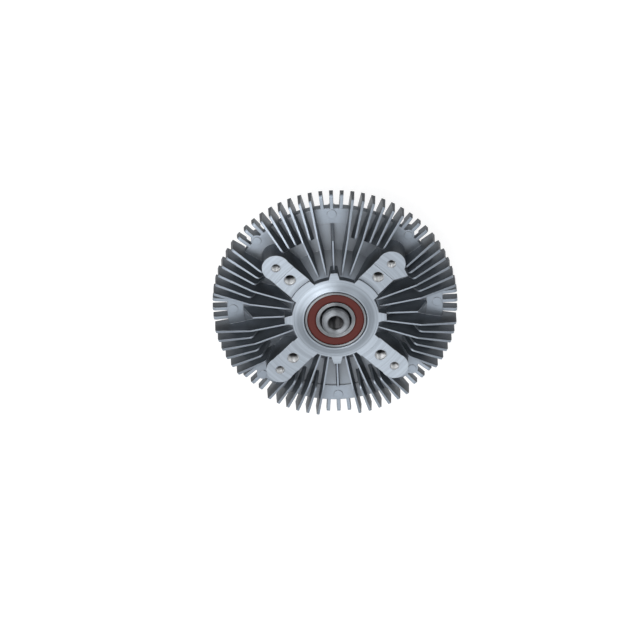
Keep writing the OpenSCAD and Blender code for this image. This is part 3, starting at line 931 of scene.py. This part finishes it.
@dataclass(frozen=True)
class TappedHole:
    """A tapped hole along the shaft's axis, and the thread on its wall.

    Lengths are in metres. The ridge's rise, foot and crest are in pitches.
    """

    x: float
    y: float
    top: float
    depth: float
    radius: float
    pitch: float
    rise: float = 0.34
    sink: float = 0.00012
    foot: float = 0.43
    crest: float = 0.08
    steps: int = 40
    lead: int = 20

    def cut(self, mesh: bmesh.types.BMesh) -> None:
        """Add the thread to a mesh as one closed ridge, which runs out into the wall at both ends.

        Args:
            mesh: The mesh that the ridge is added to.
        """
        count = int(self.steps * self.depth / self.pitch)
        rings = []
        for step in range(count + 1):
            swell = min(1.0, step / self.lead, (count - step) / self.lead)
            inward = swell * self.rise * self.pitch - (1.0 - swell) * self.sink / 2
            section = (
                (-self.sink, -self.foot),
                (inward, -self.crest),
                (inward, self.crest),
                (-self.sink, self.foot),
            )
            rings.append([mesh.verts.new(self.point(step, off, along)) for off, along in section])
        join_sections(mesh, rings)

    def point(self, step: int, inward: float, along: float) -> Point:
        """Place one point of the ridge.

        Args:
            step: How many steps down the thread it is.
            inward: How far it stands in from the wall.
            along: How far it is along the axis from the ridge's middle, in pitches.

        Returns:
            The point in the frame.
        """
        angle = -2.0 * math.pi * step / self.steps
        reach = self.radius - inward
        fall = self.pitch * (step / self.steps - along)
        return (self.x + reach * math.cos(angle), self.y + reach * math.sin(angle), self.top - fall)


def cut_threads(name: str, holes: list[TappedHole]) -> bpy.types.Object:
    """Make one piece with the threads of several holes.

    Args:
        name: The piece's name.
        holes: The holes.

    Returns:
        The new piece.
    """
    work = bmesh.new()
    for hole in holes:
        hole.cut(work)
    return close_piece(name, work)


@dataclass
class RearHousing:
    """The finned casting with hub, arms and screw bosses, and the threads in its arms."""

    outer_reach: float = 0.06735
    outer_radius: float = 0.0034
    outer_face: float = 0.0574
    inner_reach: float = 0.0515
    inner_radius: float = 0.0045
    inner_face: float = 0.058
    thread_depth: float = 0.0165
    thread_start: float = 0.0012
    thread_pitch: float = 0.00125

    def finish(self) -> CastAluminium:
        """Give the casting its finish, with its holes.

        Returns:
            The finish.
        """
        outer = (self.outer_reach, self.outer_radius)
        inner = (self.inner_reach, self.inner_radius)
        return CastAluminium("cast_housing", bores=(outer, inner))

    def holes(self) -> list[TappedHole]:
        """List the tapped holes of the four arms.

        Returns:
            The eight holes.
        """
        rows = (
            (self.outer_reach, self.outer_radius, self.outer_face),
            (self.inner_reach, self.inner_radius, self.inner_face),
        )
        made = []
        for right, ahead in ((1, 1), (-1, 1), (-1, -1), (1, -1)):
            for reach, radius, face in rows:
                x = right * reach * DIAGONAL
                y = ahead * reach * DIAGONAL
                top = face - self.thread_start
                made.append(TappedHole(x, y, top, self.thread_depth, radius, self.thread_pitch))
        return made

    def dress(self, wardrobe: Wardrobe) -> None:
        """Put the casting's finish on it and cut the threads in its arms.

        Args:
            wardrobe: Builds the finishes.
        """
        finish = self.finish()
        wardrobe.dress("rear_housing", finish)
        threads = cut_threads("arm_threads", self.holes())
        wardrobe.dress_piece(threads, finish, Body.HOUSING)


@dataclass
class FrontCover:
    """The finned cover with its screws and seal."""

    finish: CastAluminium = CastAluminium("cast_cover", turned_above=1.0, drawn=0.0)
    screws: BareSteel = BareSteel(
        "plated_screws",
        (0.60, 0.61, 0.60),
        (0.46, 0.47, 0.45),
        smooth=0.26,
        spread=0.14,
        rings=2600.0,
    )
    seal: MouldedRubber = BLACK_RUBBER

    def dress(self, wardrobe: Wardrobe) -> None:
        """Put the cover's finishes on its nodes.

        Args:
            wardrobe: Builds the finishes.
        """
        wardrobe.dress("front_cover", self.finish)
        wardrobe.dress("cover_screws", self.screws)
        wardrobe.dress("plate_screws", self.screws)
        wardrobe.dress("cover_seal", self.seal)


@dataclass
class SealedBearing:
    """The ball bearing with ground rings, balls, a stamped cage and rubber seals."""

    rings: BareSteel = BareSteel(
        "ground_steel",
        (0.36, 0.379, 0.40),
        (0.21, 0.223, 0.236),
        smooth=0.4,
        spread=0.05,
        rings=5200.0,
        drawn=0.97,
        # painted shade in the gaps by the seals and the shaft
        gap_shade_reach=0.0025,
    )
    balls: BareSteel = BareSteel(
        "polished_balls",
        (0.74, 0.75, 0.76),
        (0.64, 0.65, 0.66),
        smooth=0.05,
        spread=0.05,
        rings=900.0,
    )
    cage: RolledStrip = RolledStrip("stamped_steel", (0.55, 0.55, 0.54), (0.42, 0.42, 0.41))
    seals: MouldedRubber = MouldedRubber("brown_rubber")

    def dress(self, wardrobe: Wardrobe) -> None:
        """Put the bearing's finishes on its nodes.

        Args:
            wardrobe: Builds the finishes.
        """
        for node in ("bearing_outer_ring", "bearing_inner_ring"):
            wardrobe.dress(node, self.rings)
        wardrobe.dress("bearing_balls", self.balls)
        wardrobe.dress("bearing_cage", self.cage)
        for node in ("bearing_rear_seal", "bearing_front_seal"):
            wardrobe.dress(node, self.seals)


@dataclass
class DriveLine:
    """The shaft with its threaded hole, the rotor and its retaining ring."""

    bore: float = 0.0062
    pitch: float = 0.0015
    thread_start: float = 0.0018
    thread_depth: float = 0.026
    shaft: BareSteel = BareSteel(
        "turned_steel",
        (0.37, 0.394, 0.423),
        (0.19, 0.202, 0.217),
        smooth=0.38,
        spread=0.05,
        rings=3600.0,
        drawn=0.97,
        # painted shade in the gap round the shaft
        gap_shade_reach=0.0025,
        # oil and painted shade inside the threaded bore
        thread_radius=0.0064,
    )
    rotor: RolledStrip = RolledStrip(
        "cast_rotor", (0.60, 0.62, 0.63), (0.50, 0.51, 0.52), smooth=0.36
    )
    ring: BareSteel = BareSteel(
        "spring_steel",
        (0.20, 0.20, 0.21),
        (0.12, 0.12, 0.13),
        smooth=0.3,
        spread=0.15,
        rings=2200.0,
    )

    def dress(self, wardrobe: Wardrobe) -> None:
        """Put the drive line's finishes on its nodes and cut the shaft's thread.

        Args:
            wardrobe: Builds the finishes.
        """
        wardrobe.dress("drive_shaft", self.shaft)
        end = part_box("drive_shaft")[1].z - self.thread_start
        hole = TappedHole(0.0, 0.0, end, self.thread_depth, self.bore, self.pitch)
        thread = cut_threads("shaft_thread", [hole])
        wardrobe.dress_piece(thread, self.shaft, Body.SHAFT)
        wardrobe.dress("rotor_disc", self.rotor)
        wardrobe.dress("rotor_retaining_ring", self.ring)


@dataclass
class ValveGear:
    """The bimetal coil, the spindle that it turns, and the plate and arm behind the cover."""

    coil_inner: float = 0.0043
    coil_outer: float = 0.020
    coil_start: float = -0.003
    coil_tail: float = 0.0276
    coil_thick: float = 0.0009
    coil_turns: int = 6
    coil_steps: int = 96
    coil_bend: float = 0.0009
    bend_steps: int = 6
    coil_held: float = 0.021
    coil_driven: float = 0.0046
    coil: RolledStrip = RolledStrip("bimetal_strip")
    spindle: BareSteel = BareSteel(
        "spindle_steel",
        (0.58, 0.57, 0.54),
        (0.42, 0.41, 0.39),
        smooth=0.2,
        spread=0.14,
        rings=3000.0,
    )
    bush: BareSteel = BareSteel(
        "sintered_bronze",
        (0.55, 0.38, 0.19),
        (0.40, 0.26, 0.12),
        smooth=0.34,
        spread=0.16,
        rings=1800.0,
    )
    sheet: RolledStrip = RolledStrip("sheet_steel", (0.55, 0.56, 0.57), (0.43, 0.44, 0.45))
    seal: MouldedRubber = BLACK_RUBBER

    def dress(self, wardrobe: Wardrobe) -> None:
        """Put the valve gear's finishes on its nodes and build a wound coil that stands in for the
        CAD one.

        Args:
            wardrobe: Builds the finishes.
        """
        self.wind_coil(wardrobe)
        wardrobe.dress("valve_spindle", self.spindle)
        wardrobe.dress("spindle_bush", self.bush)
        wardrobe.dress("spindle_seal", self.seal)
        for node in ("separator_plate", "valve_arm"):
            wardrobe.dress(node, self.sheet)

    def wind_coil(self, wardrobe: Wardrobe) -> None:
        """Stand a coil in for the CAD one, which winds up between the cover and the spindle.

        Args:
            wardrobe: Builds the finishes.
        """
        low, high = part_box("bimetal_coil")
        line = self.coil_line()
        work = bmesh.new()
        rings = []
        for at, point in enumerate(line):
            run = (line[min(at + 1, len(line) - 1)] - line[max(at - 1, 0)]).normalized()
            side = Vector((-run.y, run.x)) * self.coil_thick / 2
            left = point + side
            right = point - side
            section = ((*left, low.z), (*right, low.z), (*right, high.z), (*left, high.z))
            rings.append([work.verts.new(corner) for corner in section])
        join_sections(work, rings)
        coil = close_piece("coil_strip", work)
        coil.data.materials.append(wardrobe.material(self.coil))
        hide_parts("bimetal_coil")
        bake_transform(coil)

    def coil_line(self) -> list[Vector]:
        """Trace the middle of the coil's strip from the spindle's slot to the cover's slot.

        Returns:
            The points, in a plane across the axis.
        """
        count = self.coil_turns * self.coil_steps
        grow = (self.coil_outer - self.coil_inner) / count
        turn = 2.0 * math.pi / self.coil_steps
        spiral = []
        for step in range(count + 1):
            reach = self.coil_inner + grow * step
            spiral.append(Vector((reach * math.cos(turn * step), reach * math.sin(turn * step))))
        first = math.ceil(self.coil_bend / (self.coil_inner * turn))
        last = count - math.ceil(self.coil_bend / (self.coil_outer * turn))
        inside = Vector((self.coil_inner - self.coil_bend, 0.0))
        outside = Vector((self.coil_outer + self.coil_bend, 0.0))
        line = [Vector((self.coil_start, 0.0))]
        line += self.bend(inside, spiral[0], spiral[first])
        line += spiral[first + 1 : last]
        line += self.bend(spiral[last], spiral[-1], outside)
        line.append(Vector((self.coil_tail, 0.0)))
        return line

    def bend(self, start: Vector, corner: Vector, end: Vector) -> list[Vector]:
        """Round one corner of the strip.

        Args:
            start: Where the bend starts.
            corner: The sharp corner.
            end: Where the bend ends.

        Returns:
            The points of the bend.
        """
        parts = [step / self.bend_steps for step in range(self.bend_steps + 1)]
        return [(1 - t) ** 2 * start + 2 * t * (1 - t) * corner + t * t * end for t in parts]


@dataclass
class Lamp:
    """One soft box."""

    name: str
    place: Point
    size: float
    watts: float

    def hang(self, aim: Vector) -> None:
        """Hang the lamp so that it looks at a point.

        Args:
            aim: The point.
        """
        light = bpy.data.lights.new(self.name, "AREA")
        light.shape = "DISK"
        light.size = self.size
        light.energy = self.watts
        lamp = bpy.data.objects.new(self.name, light)
        bpy.context.scene.collection.objects.link(lamp)
        lamp.location = self.place
        lamp.rotation_euler = (aim - Vector(self.place)).to_track_quat("-Z", "Y").to_euler()


@dataclass
class Studio:
    """The pale floor, the soft light and the camera at the photograph's viewing angle."""

    tilt: float = math.radians(27.925)
    yaw: float = math.radians(-0.977)
    turn: float = math.radians(2.387)
    offset: Point = (-0.012976, 0.000283, 3.8099)
    origin: Point = (0.0, 0.0, 0.0626)
    lens: float = 259.33
    sensor: float = 36.0
    clip_near: float = 0.1
    clip_far: float = 200.0
    floor_size: float = 60.0
    floor_drop: float = 0.0002
    floor_tones: tuple[Colour, Colour] = ((0.27, 0.27, 0.27), (0.30, 0.30, 0.30))
    floor_patches: float = 3.0
    floor_glow: float = 0.86
    dome_colour: Colour = (0.97, 0.985, 1.0)
    dome_low: float = 0.26
    dome_high: float = 0.5
    horizon_glow: float = 0.9
    lamp_aim: Point = (0.0, 0.0, 0.04)
    lamps: list[Lamp] = field(
        default_factory=lambda: [
            Lamp("key_box", (-0.75, 0.1, 1.45), 1.4, 8.0),
            Lamp("gleam_box", (-0.66, 0.51, 1.7), 0.3, 2.2),
            Lamp("top_box", (0.15, -0.95, 1.6), 1.4, 4.2),
            Lamp("side_box", (1.05, 0.75, 1.1), 0.9, 2.4),
            Lamp("front_box", (-0.3, 0.9, 1.5), 0.7, 3.8),
        ]
    )

    def place_camera(self) -> None:
        """Make the camera at the photograph's viewing angle."""
        t = self.tilt
        base = Matrix(((1, 0, 0), (0, math.cos(t), -math.sin(t)), (0, math.sin(t), math.cos(t))))
        c = math.cos(self.yaw)
        s = math.sin(self.yaw)
        sideways = Matrix(((c, 0, -s), (0, 1, 0), (s, 0, c)))
        view = sideways @ base @ Matrix.Rotation(self.turn, 3, "Z")
        data = bpy.data.cameras.new("photo_camera")
        data.sensor_width = self.sensor
        data.lens = self.lens
        data.clip_start = self.clip_near
        data.clip_end = self.clip_far
        camera = bpy.data.objects.new("photo_camera", data)
        bpy.context.scene.collection.objects.link(camera)
        place = view.transposed() @ Vector(self.offset) + Vector(self.origin)
        camera.matrix_world = Matrix.Translation(place) @ view.transposed().to_4x4()
        bpy.context.scene.camera = camera
        LOG.info("camera: lens %.1f mm, %.2f m away", self.lens, self.offset[2])

    def lay_floor(self) -> None:
        """Lay the pale floor that the clutch rests on."""
        half = self.floor_size / 2
        corners = [(-half, -half, 0), (half, -half, 0), (half, half, 0), (-half, half, 0)]
        mesh = bpy.data.meshes.new("floor")
        mesh.from_pydata(corners, [], [(0, 1, 2, 3)])
        floor = bpy.data.objects.new("floor", mesh)
        floor.location = (0.0, 0.0, -self.floor_drop)
        bpy.context.scene.collection.objects.link(floor)
        floor.data.materials.append(self.floor_material())

    def floor_material(self) -> bpy.types.Material:
        """Build the floor's pale matt paint, which reads as white to the eye and in reflections.

        Returns:
            The new material.
        """
        surface = Surface.start("pale_floor", 0.0, 0.0)
        tree = surface.tree
        surface.shader.inputs["Roughness"].default_value = 1.0
        patches = tree.noise(tree.place(), self.floor_patches, detail=2.0)
        tree.put(tree.blend(patches, *self.floor_tones), surface.shader.inputs["Base Color"])
        path = tree.add("ShaderNodeLightPath")
        seen = tree.math("MAXIMUM", path.outputs["Is Camera Ray"], path.outputs["Is Glossy Ray"])
        seen = tree.math("MAXIMUM", seen, path.outputs["Is Transmission Ray"])
        glow = tree.add("ShaderNodeEmission")
        tree.put(tree.math("MULTIPLY", seen, self.floor_glow), glow.inputs["Strength"])
        both = tree.add("ShaderNodeAddShader")
        tree.put(surface.shader.outputs[0], both.inputs[0])
        tree.put(glow.outputs[0], both.inputs[1])
        tree.put(both.outputs[0], surface.out.inputs["Surface"])
        return surface.material

    def light_room(self) -> None:
        """Light the room: a dome, pale at the horizon and bright overhead, and the soft boxes."""
        world = bpy.data.worlds.new("room")
        bpy.context.scene.world = world
        world.use_nodes = True
        tree = Tree(world.node_tree)
        out = tree.add("ShaderNodeOutputWorld")
        dome = tree.add("ShaderNodeBackground")
        tree.put(dome.outputs[0], out.inputs["Surface"])
        rise = tree.split(tree.add("ShaderNodeTexCoord").outputs["Generated"])[2]
        horizon = tree.ramp(tree.math("ABSOLUTE", rise), low=0.16, high=0.06)
        overhead = tree.ramp(rise, low=0.2, high=1.0, start=self.dome_low, end=self.dome_high)
        band = tree.math("MULTIPLY", horizon, self.horizon_glow)
        tree.put(tree.math("MAXIMUM", overhead, band), dome.inputs["Strength"])
        dome.inputs["Color"].default_value = (*self.dome_colour, 1.0)
        for lamp in self.lamps:
            lamp.hang(Vector(self.lamp_aim))

    def build(self) -> None:
        """Build the studio round the clutch."""
        self.place_camera()
        self.lay_floor()
        self.light_room()
        bpy.context.scene.view_settings.view_transform = "Standard"


def main() -> None:
    """Load the frame, dress each sub-assembly and build the studio."""
    logging.basicConfig(level=logging.INFO, format="%(name)s: %(message)s")
    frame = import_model()
    wardrobe = Wardrobe(frame, EffectShelf())
    for group in (RearHousing(), FrontCover(), SealedBearing(), DriveLine(), ValveGear()):
        group.dress(wardrobe)
    Studio().build()


if __name__ == "__main__":
    main()
